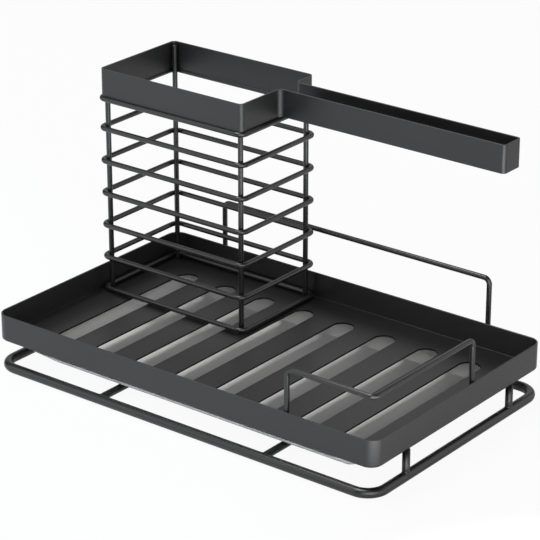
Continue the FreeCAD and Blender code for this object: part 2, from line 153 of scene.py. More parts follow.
def add_coat(tree, shader, colours, roughness, peel_scale, fleck_scale):
    """Sets a shader up as powder coat, and returns the coat's colour with its flecks."""
    settings = {
        "Peel scale": peel_scale,
        "Fleck scale": fleck_scale,
        "Least roughness": roughness[0],
        "Most roughness": roughness[1],
    }
    grain = add_node(tree, "ShaderNodeGroup", settings, node_tree=coat_grain)
    relief = {"Height": grain.outputs["Height"], "Strength": coat_bump_strength, "Distance": coat_bump_depth}
    bump = add_node(tree, "ShaderNodeBump", relief)
    tree.links.new(bump.outputs["Normal"], shader.inputs["Normal"])
    tree.links.new(grain.outputs["Roughness"], shader.inputs["Roughness"])
    return mixed(tree, grain.outputs["Fleck"], *colours)


coated_wire, wire_tree, wire_shader = new_material("coated_wire")
wire_colour = add_coat(wire_tree, wire_shader, coat_colours, wire_roughness, peel_scale=900, fleck_scale=4200)
wire_tree.links.new(wire_colour, wire_shader.inputs["Base Color"])
wire_shader.inputs["Specular IOR Level"].default_value = coat_shine


def build_bent_wire():
    """A wire along a path: bent round its corners, swept with a round section, swollen where the path says."""
    tree = bpy.data.node_groups.new("bent_wire", "GeometryNodeTree")
    inputs = {"Path": "Geometry", "Radius": "Float", "Bend steps": "Int", "Sides": "Int", "Coat": "Material"}
    add_sockets(tree, inputs, {"Wire": "Geometry"})
    given = tree.nodes.new("NodeGroupInput").outputs
    bend = result_of(tree, "GeometryNodeInputNamedAttribute", {"Name": "bend"}, data_type="FLOAT")
    swell = result_of(tree, "GeometryNodeInputNamedAttribute", {"Name": "swell"}, data_type="FLOAT")
    path = result_of(tree, "GeometryNodeMeshToCurve", {"Mesh": given["Path"]})
    corners = {"Curve": path, "Count": given["Bend steps"], "Radius": bend, "Limit Radius": True}
    rounded = result_of(tree, "GeometryNodeFilletCurve", corners, mode="POLY")
    circle = {"Resolution": given["Sides"], "Radius": given["Radius"]}
    section = add_node(tree, "GeometryNodeCurvePrimitiveCircle", circle).outputs["Curve"]
    swept = {"Curve": rounded, "Profile Curve": section, "Scale": swell, "Fill Caps": True}
    tube = result_of(tree, "GeometryNodeCurveToMesh", swept)
    clean = result_of(tree, "GeometryNodeMergeByDistance", {"Geometry": tube, "Distance": wire_seam_gap})
    smooth = result_of(tree, "GeometryNodeSetShadeSmooth", {"Geometry": clean})
    real = result_of(tree, "GeometryNodeRealizeInstances", {"Geometry": smooth})
    coated = result_of(tree, "GeometryNodeSetMaterial", {"Geometry": real, "Material": given["Coat"]})
    add_node(tree, "NodeGroupOutput", {"Wire": coated})
    return tree


bent_wire = build_bent_wire()


def new_piece(name, mesh):
    piece = bpy.data.objects.new(name, mesh)
    bpy.context.scene.collection.objects.link(piece)
    return piece


def shape_with(piece, tree, settings):
    """Runs a geometry tree on a piece and keeps the result as the piece's plain mesh."""
    modifier = piece.modifiers.new(tree.name, "NODES")
    modifier.node_group = tree
    for socket in tree.interface.items_tree:
        if socket.name in settings:
            modifier[socket.identifier] = settings[socket.name]
    graph = bpy.context.evaluated_depsgraph_get()
    shown = piece.evaluated_get(graph)
    mesh = bpy.data.meshes.new_from_object(shown, preserve_all_data_layers=True, depsgraph=graph)
    piece.modifiers.clear()
    path = piece.data
    piece.data = mesh
    bpy.data.meshes.remove(path)
    mesh.name = piece.name
    return piece


def path_mesh(name, points, closed, **attributes):
    """The line that a wire or strip follows, with attributes of its points, such as the bend at each."""
    mesh = bpy.data.meshes.new(name)
    edges = [(k, k + 1) for k in range(len(points) - 1)]
    if closed:
        edges.append((len(points) - 1, 0))
    mesh.from_pydata(points, edges, [])
    for attribute, values in attributes.items():
        mesh.attributes.new(attribute, "FLOAT", "POINT").data.foreach_set("value", values)
    return mesh


def quarter_turn(steps):
    """The sine and cosine of even steps through a quarter turn."""
    angles = [math.radians(90 * k / steps) for k in range(steps + 1)]
    return [(math.sin(angle), math.cos(angle)) for angle in angles]


def make_wire(name, points, radius, bend, closed, steps, sides):
    """A bent wire. The cut ends of an open one have rounded edges."""
    nose = wire_nose * radius
    ends = []
    if not closed:
        first_run = (points[1] - points[0]).normalized()
        last_run = (points[-2] - points[-1]).normalized()
        for sine, cosine in reversed(quarter_turn(wire_nose_steps)):
            depth = nose * (1 - sine)
            swell = 1 - nose * (1 - cosine) / radius
            ends.append((points[0] + first_run * depth, points[-1] + last_run * depth, swell))
        points = points[1:-1]
    line = [end[0] for end in ends] + points + [end[1] for end in reversed(ends)]
    bends = [0] * len(ends) + [bend] * len(points) + [0] * len(ends)
    swells = [end[2] for end in ends] + [1] * len(points) + [end[2] for end in reversed(ends)]
    piece = new_piece(name, path_mesh(name, line, closed, bend=bends, swell=swells))
    settings = {"Radius": radius, "Bend steps": steps, "Sides": sides, "Coat": coated_wire}
    return shape_with(piece, bent_wire, settings)


def level_corners(low, high, inset, height):
    """Corners of a level loop that lies inset from the sides of a box."""
    left, right = low.x + inset, high.x - inset
    front, rear = low.y + inset, high.y - inset
    return [Vector((x, y, height)) for x, y in ((left, front), (right, front), (right, rear), (left, rear))]


def settle(piece, body, slot, *nodes):
    """Puts a finished piece on its body, in place of the CAD nodes that it dresses."""
    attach(piece, body)
    if nodes:
        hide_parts(*nodes)


ring_corners = level_corners(ring_low, ring_high, ring_radius, ring_axis_height)
ring = make_wire("ring_wire", ring_corners, ring_radius, ring_bend, True, ring_steps, ring_sides)
settle(ring, "frame", "coated_wire", "base_ring")

# Cross bars
# Two straight steel wires from the front to the rear of the ring, which carry the drip pan. Their ends are cut
# to the ring's round wire and welded on, so a small fillet of weld runs round each end under the coat.
rod_fillet = 0.0006
rod_fillet_steps = 4
rod_sides = 28


def join_loops(shape, loops):
    """Bands of faces between loops in a row, all of as many points."""
    for first, second in zip(loops, loops[1:]):
        for k in range(len(first)):
            after = (k + 1) % len(first)
            shape.faces.new((first[k], first[after], second[after], second[k]))


def close_shell(shape, loops):
    """Bands between loops in a row, and a face over the first and the last."""
    join_loops(shape, loops)
    shape.faces.new(loops[0])
    shape.faces.new(loops[-1])


def turn_outward(shape):
    """Turns all faces of a closed shell to the outside."""
    bmesh.ops.recalc_face_normals(shape, faces=shape.faces)
    if shape.calc_volume(signed=True) < 0:
        bmesh.ops.reverse_faces(shape, faces=shape.faces)


def finish_shell(name, shape, material):
    """Turns a closed shell into a piece with smooth bends and even flat faces."""
    turn_outward(shape)
    mesh = bpy.data.meshes.new(name)
    shape.to_mesh(mesh)
    shape.free()
    mesh.shade_smooth()
    mesh.materials.append(material)
    piece = new_piece(name, mesh)
    piece.modifiers.new("even_faces", "WEIGHTED_NORMAL")
    return piece


def make_welded_rod(name, axis, centre, radius, start_seat, end_seat, end_fillet):
    """A straight rod along one axis, with a fillet of weld where it meets its seats.

    A seat tells where on the axis a point of the rod's section meets what the rod is welded to.
    """
    along = Vector(axis)
    across = Vector((along.y, along.z, along.x))
    beside = along.cross(across)
    rows = []
    for seat, sense, fillet in ((start_seat, 1, rod_fillet), (end_seat, -1, end_fillet)):
        turns = quarter_turn(rod_fillet_steps) if fillet else [(0, 1)]
        end_rows = [(seat, sense, fillet * (1 - sine), fillet * (1 - cosine)) for sine, cosine in turns]
        rows += end_rows if sense > 0 else reversed(end_rows)

    shape = bmesh.new()
    loops = []
    for seat, sense, reach, rise in rows:
        loop = []
        for k in range(rod_sides):
            angle = 2 * math.pi * k / rod_sides
            offset = (across * math.cos(angle) + beside * math.sin(angle)) * (radius + reach)
            foot = centre - along * centre.dot(along) + offset
            loop.append(shape.verts.new(foot + along * (seat(foot) + sense * rise)))
        loops.append(loop)
    close_shell(shape, loops)
    return finish_shell(name, shape, coated_wire)


def ring_front_seat(point):
    """Where the ring's front side has its rear surface, at a point's height."""
    rise = point.z - ring_axis_height
    return ring_low.y + ring_radius + math.sqrt(max(ring_radius ** 2 - rise ** 2, 0))


def ring_rear_seat(point):
    """Where the ring's rear side has its front surface. The ring lies evenly about the origin."""
    return -ring_front_seat(point)


for side in ("left", "right"):
    bar_low, bar_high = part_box(f"cross_bar_{side}")
    bar = make_welded_rod(
        f"bar_{side}_wire",
        (0, 1, 0),
        (bar_low + bar_high) / 2,
        (bar_high.x - bar_low.x) / 2,
        ring_front_seat,
        ring_rear_seat,
        rod_fillet,
    )
    settle(bar, "frame", "coated_wire", f"cross_bar_{side}")

# Posts
# Four short steel wires that lift the tray off the ring. Each is cut to the ring's wire at its foot and welded
# there all round, and its flat top is welded to the tray's underside without a bead.
tray_low, tray_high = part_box("drain_tray")


def ring_side_seat(axis_x):
    """A seat on the upper surface of the ring's side, whose axis is at the given X."""

    def seat(point):
        aside = point.x - axis_x
        return ring_axis_height + math.sqrt(max(ring_radius ** 2 - aside ** 2, 0))

    return seat


def tray_underside(point):
    """A flat seat, the same at each point."""
    return tray_low.z


for end in ("front", "rear"):
    for side in ("left", "right"):
        post_low, post_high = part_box(f"post_{end}_{side}")
        post_centre = (post_low + post_high) / 2
        post = make_welded_rod(
            f"post_{end}_{side}_wire",
            (0, 0, 1),
            post_centre,
            (post_high.x - post_low.x) / 2,
            ring_side_seat(post_centre.x),
            tray_underside,
            0,
        )
        settle(post, "frame", "coated_wire", f"post_{end}_{side}")

# Drain tray
# A shallow tray drawn from steel sheet, with round corners, a small bend between floor and walls and a row of
# long round-ended slots punched through the floor. Its top edge is dulled and coated with the rest, and painted a
# little lighter along its rounding, partly as a painted highlight and partly where the coat lies thinner. The coat
# is rougher on the punched sides of the slots, and painted darker and less shiny there as painted shade in the
# slots.
tray_sheet = 0.001
tray_corner = 0.0075
tray_bend = 0.0015
tray_bend_inside = 0.0002
tray_lip = 0.0004
tray_corner_steps = 14
slot_count = 8
slot_radius = 0.0064
slot_side_margin = 0.02285
slot_front_margin = 0.0138
slot_rear_margin = 0.0188
slot_lip = 0.0001
slot_seam_gap = 0.000001
tray_seam_gap = 0.000002
slot_end_steps = 16
lip_steps = 3
sheet_roughness = (0.36, 0.44)
# Darker colour and weak shine on the slots' punched sides: partly a rougher cut edge, partly painted shade inside
# the slots.
punched_shade_colours = ((0.0030, 0.0031, 0.0033, 1), (0.0045, 0.0046, 0.0049, 1))
punched_roughness = (0.7, 0.82)
punched_shade_shine = 0.2
# Lighter colour along the sheet's rounded edges: partly a painted highlight, partly the coat lying thinner there.
edge_wear_and_highlight_colour = (0.013, 0.0132, 0.0137, 1)
edge_wear_and_highlight_scale = 160
edge_wear_and_highlight_noise_range = (0.3, 0.6)
edge_wear_and_highlight_share = (0.35, 1)


def build_edge_wear_and_highlight():
    """Cut edges, lighter partly where powder coat lies thinner and partly as a painted highlight: a mask from an
    attribute of the mesh, broken up a little.
    """
    tree = bpy.data.node_groups.new("edge_wear_and_highlight", "ShaderNodeTree")
    add_sockets(tree, {"Breakup scale": "Float"}, {"Mask": "Float"})
    given = tree.nodes.new("NodeGroupInput").outputs
    place = add_node(tree, "ShaderNodeTexCoord").outputs["Object"]
    edge = add_node(tree, "ShaderNodeAttribute", attribute_name="edge").outputs["Fac"]
    noise = noise_at(tree, place, given["Breakup scale"], detail=3)
    breakup = mapped(tree, noise, *edge_wear_and_highlight_noise_range, *edge_wear_and_highlight_share)
    mask = math_of(tree, "MULTIPLY", edge, breakup)
    add_node(tree, "NodeGroupOutput", {"Mask": mask})
    return tree


edge_wear_and_highlight = build_edge_wear_and_highlight()
coated_sheet, sheet_tree, sheet_shader = new_material("coated_sheet")
sheet_colour = add_coat(
    sheet_tree, sheet_shader, coat_colours, sheet_roughness, peel_scale=650, fleck_scale=3600
)
# The sheet's rounded edges are painted lighter, partly as a painted highlight and partly for the thinner coat
# there.
sheet_edge_mask = add_node(sheet_tree, "ShaderNodeGroup", {"Breakup scale": edge_wear_and_highlight_scale}, node_tree=edge_wear_and_highlight)
sheet_edge_toned = mixed(sheet_tree, sheet_edge_mask.outputs["Mask"], sheet_colour, edge_wear_and_highlight_colour)
sheet_tree.links.new(sheet_edge_toned, sheet_shader.inputs["Base Color"])
sheet_shader.inputs["Specular IOR Level"].default_value = coat_shine

# The slots' punched sides get a darker, less shiny coat, partly as painted shade inside the slots.
punched_shade_coat, punched_tree, punched_shader = new_material("punched_shade_coat")
punched_shade_colour = add_coat(
    punched_tree, punched_shader, punched_shade_colours, punched_roughness, peel_scale=900, fleck_scale=3600
)
punched_tree.links.new(punched_shade_colour, punched_shader.inputs["Base Color"])
punched_shader.inputs["Specular IOR Level"].default_value = punched_shade_shine


def face_outward(mesh):
    """Turns all faces of a closed mesh to the outside."""
    shape = bmesh.new()
    shape.from_mesh(mesh)
    turn_outward(shape)
    shape.to_mesh(mesh)
    shape.free()


def round_box(half_length, half_width, corner, height, steps):
    """Points of a level rectangle about the origin with round corners, counter-clockwise."""
    points = []
    for x_sign, y_sign, start in ((1, -1, -90), (1, 1, 0), (-1, 1, 90), (-1, -1, 180)):
        for k in range(steps + 1):
            angle = math.radians(start + 90 * k / steps)
            x = x_sign * (half_length - corner) + corner * math.cos(angle)
            y = y_sign * (half_width - corner) + corner * math.sin(angle)
            points.append(Vector((x, y, height)))
    return points


def build_slotted_floor():
    """Closes a tray's shell of walls with a floor that has a row of slots with dulled edges and sides."""
    tree = bpy.data.node_groups.new("slotted_floor", "GeometryNodeTree")
    inputs = {
        "Walls": "Geometry",
        "Slot count": "Int",
        "First slot": "Vector",
        "Slot pitch": "Vector",
        "Slot width": "Float",
        "Slot length": "Float",
        "End steps": "Int",
        "Sheet": "Float",
        "Underside": "Float",
        "Edge radius": "Float",
        "Edge steps": "Int",
        "Coat": "Material",
        "Punched coat": "Material",
    }
    add_sockets(tree, inputs, {"Tray": "Geometry"})
    given = tree.nodes.new("NodeGroupInput").outputs

    def rounded(curve, steps, radius):
        corners = {"Curve": curve, "Count": steps, "Radius": radius, "Limit Radius": True}
        return result_of(tree, "GeometryNodeFilletCurve", corners, mode="POLY")

    half_width = math_of(tree, "MULTIPLY", given["Slot width"], 0.5)
    blank = {"Width": given["Slot width"], "Height": given["Slot length"]}
    blank_outline = result_of(tree, "GeometryNodeCurvePrimitiveQuadrilateral", blank)
    slot = rounded(blank_outline, given["End steps"], half_width)
    row = {"Count": given["Slot count"], "Start Location": given["First slot"], "Offset": given["Slot pitch"]}
    places = result_of(tree, "GeometryNodeMeshLine", row)
    placed = result_of(tree, "GeometryNodeInstanceOnPoints", {"Points": places, "Instance": slot})
    slots = result_of(tree, "GeometryNodeRealizeInstances", {"Geometry": placed})
    level = result_of(tree, "GeometryNodeSetCurveNormal", {"Curve": slots}, mode="Z_UP")

    side = {"Width": given["Edge radius"], "Height": given["Sheet"]}
    side_outline = result_of(tree, "GeometryNodeCurvePrimitiveQuadrilateral", side)
    open_side = result_of(tree, "GeometryNodeSetSplineCyclic", {"Geometry": side_outline, "Cyclic": False})
    cut_edge = rounded(open_side, given["Edge steps"], given["Edge radius"])
    position = result_of(tree, "GeometryNodeInputPosition")
    half_edge = math_of(tree, "MULTIPLY", given["Edge radius"], 0.5)
    outward = result_of(tree, "ShaderNodeCombineXYZ", {"X": half_edge})
    section = result_of(tree, "GeometryNodeTransform", {"Geometry": cut_edge, "Translation": outward})
    swept = result_of(tree, "GeometryNodeCurveToMesh", {"Curve": level, "Profile Curve": section})
    whole = result_of(tree, "GeometryNodeMergeByDistance", {"Geometry": swept, "Distance": slot_seam_gap})
    marking = {"Geometry": whole, "Name": "punched", "Value": True}
    slot_sides = result_of(
        tree, "GeometryNodeStoreNamedAttribute", marking, data_type="BOOLEAN", domain="FACE"
    )

    shell = add_node(tree, "GeometryNodeJoinGeometry")
    for part in (given["Walls"], slot_sides):
        tree.links.new(part, shell.inputs[0])
    faces = add_node(tree, "GeometryNodeInputMeshEdgeNeighbors").outputs["Face Count"]
    on_rim = math_of(tree, "COMPARE", faces, 1)
    height = add_node(tree, "ShaderNodeSeparateXYZ", {"Vector": position}).outputs["Z"]
    middle = math_of(tree, "ADD", given["Underside"], math_of(tree, "MULTIPLY", given["Sheet"], 0.5))
    floor_top = math_of(tree, "ADD", given["Underside"], given["Sheet"])
    tray = add_node(tree, "GeometryNodeJoinGeometry")
    tree.links.new(shell.outputs[0], tray.inputs[0])
    for side_of, face_height in (("GREATER_THAN", floor_top), ("LESS_THAN", given["Underside"])):
        chosen = math_of(tree, "MULTIPLY", on_rim, math_of(tree, side_of, height, middle))
        rims = result_of(tree, "GeometryNodeMeshToCurve", {"Mesh": shell.outputs[0], "Selection": chosen})
        face = result_of(tree, "GeometryNodeFillCurve", {"Curve": rims})
        lift = result_of(tree, "ShaderNodeCombineXYZ", {"Z": face_height})
        floor_face = result_of(tree, "GeometryNodeTransform", {"Geometry": face, "Translation": lift})
        tree.links.new(floor_face, tray.inputs[0])
    seams = {"Geometry": tray.outputs[0], "Distance": tray_seam_gap}
    sewn = result_of(tree, "GeometryNodeMergeByDistance", seams)
    smooth = result_of(tree, "GeometryNodeSetShadeSmooth", {"Geometry": sewn})
    real = result_of(tree, "GeometryNodeRealizeInstances", {"Geometry": smooth})
    coated = result_of(tree, "GeometryNodeSetMaterial", {"Geometry": real, "Material": given["Coat"]})
    punched = result_of(tree, "GeometryNodeInputNamedAttribute", {"Name": "punched"}, data_type="BOOLEAN")
    dull = {"Geometry": coated, "Selection": punched, "Material": given["Punched coat"]}
    finished = result_of(tree, "GeometryNodeSetMaterial", dull)
    add_node(tree, "NodeGroupOutput", {"Tray": finished})
    return tree


def tray_profile():
    """Inset, height and edge mark of each loop, from under the floor over the wall's top to the floor inside."""
    turns = quarter_turn(lip_steps)
    rows = []
    for sine, cosine in turns:
        rows.append((tray_bend * (1 - sine), tray_low.z + tray_bend * (1 - cosine), 0))
    for step, (sine, cosine) in enumerate(turns):
        rows.append((tray_lip * (1 - cosine), tray_high.z - tray_lip * (1 - sine), min(step, 1)))
    for step, (sine, cosine) in enumerate(turns):
        mark = min(lip_steps - step, 1)
        rows.append((tray_sheet - tray_lip * (1 - sine), tray_high.z - tray_lip * (1 - cosine), mark))
    inside_top = tray_low.z + tray_sheet
    for sine, cosine in turns:
        inset = tray_sheet + tray_bend_inside * (1 - cosine)
        rows.append((inset, inside_top + tray_bend_inside * (1 - sine), 0))
    return rows


wall_shape = bmesh.new()
wall_edge = wall_shape.verts.layers.float.new("edge")
tray_half_length = tray_high.x
tray_half_width = tray_high.y
wall_loops = []
for inset, height, mark in tray_profile():
    outline = round_box(
        tray_half_length - inset, tray_half_width - inset, tray_corner - inset, height, tray_corner_steps
    )
    loop = [wall_shape.verts.new(point) for point in outline]
    for vertex in loop:
        vertex[wall_edge] = mark
    wall_loops.append(loop)
join_loops(wall_shape, wall_loops)
wall_mesh = bpy.data.meshes.new("tray_sheet")
wall_shape.to_mesh(wall_mesh)
wall_shape.free()

slot_first = tray_sheet + slot_side_margin + slot_radius - tray_half_length
slot_pitch = -2 * slot_first / (slot_count - 1)
slot_front = tray_sheet + slot_front_margin - tray_half_width
slot_rear = tray_half_width - tray_sheet - slot_rear_margin
tray = shape_with(
    new_piece("tray_sheet", wall_mesh),
    build_slotted_floor(),
    {
        "Slot count": slot_count,
        "First slot": (slot_first, (slot_front + slot_rear) / 2, tray_low.z + tray_sheet / 2),
        "Slot pitch": (slot_pitch, 0, 0),
        "Slot width": 2 * slot_radius,
        "Slot length": slot_rear - slot_front,
        "End steps": slot_end_steps,
        "Sheet": tray_sheet,
        "Underside": tray_low.z,
        "Edge radius": slot_lip,
        "Edge steps": lip_steps,
        "Coat": coated_sheet,
        "Punched coat": punched_shade_coat,
    },
)
face_outward(tray.data)
tray.modifiers.new("even_faces", "WEIGHTED_NORMAL")
settle(tray, "frame", "coated_sheet", "drain_tray")

# Guards
# Two low rails of bent steel wire that keep things on the tray: one behind the rear wall, with its legs welded
# to the outside, and one round the front right corner, with a leg inside the front wall and one inside the right.
guard_bend = 0.0036
guard_steps = 10
guard_sides = 24
rear_low, rear_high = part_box("rear_guard")
guard_radius = (rear_high.y - rear_low.y) / 2
rear_middle = (rear_low.y + rear_high.y) / 2
rear_rail = rear_high.z - guard_radius
rear_points = [
    Vector((x, rear_middle, height))
    for x, height in (
        (rear_low.x + guard_radius, rear_low.z),
        (rear_low.x + guard_radius, rear_rail),
        (rear_high.x - guard_radius, rear_rail),
        (rear_high.x - guard_radius, rear_low.z),
    )
]
rear_guard = make_wire(
    "rear_guard_wire", rear_points, guard_radius, guard_bend, False, guard_steps, guard_sides
)
settle(rear_guard, "frame", "coated_wire", "rear_guard")

corner_low, corner_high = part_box("corner_guard")
corner_x = corner_high.x - guard_radius
corner_y = corner_low.y + guard_radius
corner_rail = corner_high.z - guard_radius
front_leg_x = corner_low.x + guard_radius
side_leg_y = corner_high.y - guard_radius
corner_points = [
    Vector((front_leg_x, corner_y, corner_low.z)),
    Vector((front_leg_x, corner_y, corner_rail)),
    Vector((corner_x, corner_y, corner_rail)),
    Vector((corner_x, side_leg_y, corner_rail)),
    Vector((corner_x, side_leg_y, corner_low.z)),
]
corner_guard = make_wire(
    "corner_guard_wire", corner_points, guard_radius, guard_bend, False, guard_steps, guard_sides
)
settle(corner_guard, "frame", "coated_wire", "corner_guard")

# Guard welds
# The resistance welds that hold the guards' legs to the tray walls: small nuggets of metal that fill the narrow
# gap between wire and sheet, two to a leg, under the same coat.
weld_radius = 0.0009
weld_segments = 14
weld_rings = 8
guard_weld_heights = (0.0235, 0.0305)


def build_weld_spots():
    """A small round nugget at each point of a mesh."""
    tree = bpy.data.node_groups.new("weld_spots", "GeometryNodeTree")
    add_sockets(tree, {"Places": "Geometry", "Radius": "Float", "Coat": "Material"}, {"Spots": "Geometry"})
    given = tree.nodes.new("NodeGroupInput").outputs
    ball = {"Segments": weld_segments, "Rings": weld_rings, "Radius": given["Radius"]}
    nugget = add_node(tree, "GeometryNodeMeshUVSphere", ball).outputs["Mesh"]
    smooth = result_of(tree, "GeometryNodeSetShadeSmooth", {"Geometry": nugget})
    placed = {"Points": given["Places"], "Instance": smooth}
    spots = result_of(tree, "GeometryNodeInstanceOnPoints", placed)
    real = result_of(tree, "GeometryNodeRealizeInstances", {"Geometry": spots})
    coated = result_of(tree, "GeometryNodeSetMaterial", {"Geometry": real, "Material": given["Coat"]})
    add_node(tree, "NodeGroupOutput", {"Spots": coated})
    return tree


weld_spots = build_weld_spots()


def make_welds(name, places, body):
    """All weld nuggets of one body, as one piece."""
    mesh = bpy.data.meshes.new(name)
    mesh.from_pydata(places, [], [])
    welds = shape_with(new_piece(name, mesh), weld_spots, {"Radius": weld_radius, "Coat": coated_wire})
    settle(welds, body, "coated_wire")


guard_welds = []
for height in guard_weld_heights:
    for x in (rear_low.x + guard_radius, rear_high.x - guard_radius):
        guard_welds.append(Vector((x, rear_low.y, height)))
    guard_welds.append(Vector((front_leg_x, corner_low.y, height)))
    guard_welds.append(Vector((corner_high.x, side_leg_y, height)))
make_welds("guard_weld_spots", guard_welds, "frame")

# Drip pan
# A shallow pan pressed from thin steel sheet, with sloping sides, powder-coated matt light grey. It lies loose
# on the cross bars and is pulled out to the front to be emptied.
pan_low, pan_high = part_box("drip_pan")
pan_sheet = 0.0008
pan_slope_run = 0.014
pan_floor_corner = 0.004
pan_bend_inside = 0.0012
pan_lip = 0.0003
pan_bend_steps = 5
pan_corner_steps = 16
pan_colours = ((0.78, 0.78, 0.77, 1), (0.83, 0.83, 0.82, 1))
pan_roughness = (0.5, 0.62)

pale_coat, pale_tree, pale_shader = new_material("pale_coat")
pale_colour = add_coat(pale_tree, pale_shader, pan_colours, pan_roughness, peel_scale=700, fleck_scale=3600)
pale_tree.links.new(pale_colour, pale_shader.inputs["Base Color"])


def pan_profile():
    """Reach beyond the floor's edge and height of each loop, from under the floor over the rim to the inside."""
    depth = pan_high.z - pan_low.z
    lean = math.atan2(depth, pan_slope_run)
    bend = pan_bend_inside + pan_sheet
    centre = (-bend * math.tan(lean / 2), pan_low.z + bend)
    angles = [lean * k / pan_bend_steps for k in range(pan_bend_steps + 1)]
    outside = [(centre[0] + bend * math.sin(a), centre[1] - bend * math.cos(a)) for a in angles]
    inside = [
        (centre[0] + pan_bend_inside * math.sin(a), centre[1] - pan_bend_inside * math.cos(a))
        for a in reversed(angles)
    ]
    rim_width = pan_sheet / math.sin(lean)
    rim = [
        (pan_slope_run - pan_lip * math.cos(lean), pan_high.z - pan_lip * math.sin(lean)),
        (pan_slope_run - pan_lip / 2, pan_high.z - pan_lip / 8),
        (pan_slope_run - pan_lip * 1.5, pan_high.z),
        (pan_slope_run - rim_width + pan_lip / 2, pan_high.z),
        (pan_slope_run - rim_width - pan_lip / 4, pan_high.z - pan_lip / 2),
    ]
    return outside + rim + inside


pan_shape = bmesh.new()
pan_loops = []
for reach, height in pan_profile():
    pan_points = round_box(
        pan_high.x - pan_slope_run + reach,
        pan_high.y - pan_slope_run + reach,
        pan_floor_corner + reach,
        height,
        pan_corner_steps,
    )
    pan_loops.append([pan_shape.verts.new(point) for point in pan_points])
close_shell(pan_shape, pan_loops)
pan = finish_shell("pan_sheet", pan_shape, pale_coat)
settle(pan, "pan", "pale_coat", "drip_pan")

# Basket hoops
# Hoops of bent steel wire, one above the other, each butt-welded end to end. They stand in the tray's rear left
# corner and come out with the basket.
hoop_bend = 0.0044
hoop_steps = 12
hoop_sides = 24
hoop_names = sorted(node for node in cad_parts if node.startswith("hoop_"))
for node in hoop_names:
    hoop_low, hoop_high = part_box(node)
    hoop_radius = (hoop_high.z - hoop_low.z) / 2
    hoop_points = level_corners(hoop_low, hoop_high, hoop_radius, hoop_low.z + hoop_radius)
    hoop = make_wire(f"{node}_wire", hoop_points, hoop_radius, hoop_bend, True, hoop_steps, hoop_sides)
    settle(hoop, "basket", "coated_wire", node)

# Basket uprights
# Four straight steel wires inside the hoops' corners, welded to each hoop. They end a little below the rim
# strip's top edge, and their cut ends are dulled.
upright_names = sorted(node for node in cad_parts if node.startswith("upright_"))
for node in upright_names:
    upright_low, upright_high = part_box(node)
    upright_radius = (upright_high.x - upright_low.x) / 2
    upright_centre = (upright_low + upright_high) / 2
    upright_points = [
        Vector((upright_centre.x, upright_centre.y, height)) for height in (upright_low.z, upright_high.z)
    ]
    upright = make_wire(f"{node}_wire", upright_points, upright_radius, 0, False, 1, hoop_sides)
    settle(upright, "basket", "coated_wire", node)

# Rim strip and towel arm
# One flat steel strip, bent round the basket's rim, out along the towel arm, round the arm's end and back to
# the rim. It stands on the top hoop. Its long edges are dulled and coated.
strip_low, strip_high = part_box("rim_band")
strip_sheet = 0.001
strip_lip = 0.0002
strip_stand_off = 0.0006
arm_width = 0.0156
arm_setback = 0.0156
neck_bend_inside = 0.003
arm_bend_outside = 0.0024
strip_inset = strip_sheet / 2
strip_rim_bend = upright_radius + strip_stand_off + strip_inset
strip_neck_bend = neck_bend_inside + strip_inset
strip_arm_bend = arm_bend_outside - strip_inset
strip_steps = 12
strip_lip_steps = 4


def build_bent_strip():
    """A flat strip on edge along a path: bent round its corners, with dulled long edges that carry a mark."""
    tree = bpy.data.node_groups.new("bent_strip", "GeometryNodeTree")
    inputs = {
        "Path": "Geometry",
        "Sheet": "Float",
        "Height": "Float",
        "Edge radius": "Float",
        "Edge steps": "Int",
        "Bend steps": "Int",
        "Coat": "Material",
    }
    add_sockets(tree, inputs, {"Strip": "Geometry"})
    given = tree.nodes.new("NodeGroupInput").outputs
    bend = result_of(tree, "GeometryNodeInputNamedAttribute", {"Name": "bend"}, data_type="FLOAT")
    path = result_of(tree, "GeometryNodeMeshToCurve", {"Mesh": given["Path"]})
    corners = {"Curve": path, "Count": given["Bend steps"], "Radius": bend, "Limit Radius": True}
    rounded = result_of(tree, "GeometryNodeFilletCurve", corners, mode="POLY")
    upright = result_of(tree, "GeometryNodeSetCurveNormal", {"Curve": rounded}, mode="Z_UP")
    flat = {"Width": given["Sheet"], "Height": given["Height"]}
    section = result_of(tree, "GeometryNodeCurvePrimitiveQuadrilateral", flat)
    dulled = {
        "Curve": section,
        "Count": given["Edge steps"],
        "Radius": given["Edge radius"],
        "Limit Radius": True,
    }
    profile = result_of(tree, "GeometryNodeFilletCurve", dulled, mode="POLY")

    position = result_of(tree, "GeometryNodeInputPosition")
    level = add_node(tree, "ShaderNodeSeparateXYZ", {"Vector": position}).outputs["Y"]
    reach = math_of(tree, "ABSOLUTE", level)
    half = math_of(tree, "MULTIPLY", given["Height"], 0.5)
    start = math_of(tree, "SUBTRACT", half, given["Edge radius"])
    mark = mapped(tree, reach, start, half, 0, 1)
    marking = {"Geometry": profile, "Name": "edge", "Value": mark}
    marked = result_of(tree, "GeometryNodeStoreNamedAttribute", marking, data_type="FLOAT", domain="POINT")

    swept = {"Curve": upright, "Profile Curve": marked}
    strip = result_of(tree, "GeometryNodeCurveToMesh", swept)
    smooth = result_of(tree, "GeometryNodeSetShadeSmooth", {"Geometry": strip})
    real = result_of(tree, "GeometryNodeRealizeInstances", {"Geometry": smooth})
    coated = result_of(tree, "GeometryNodeSetMaterial", {"Geometry": real, "Material": given["Coat"]})
    add_node(tree, "NodeGroupOutput", {"Strip": coated})
    return tree


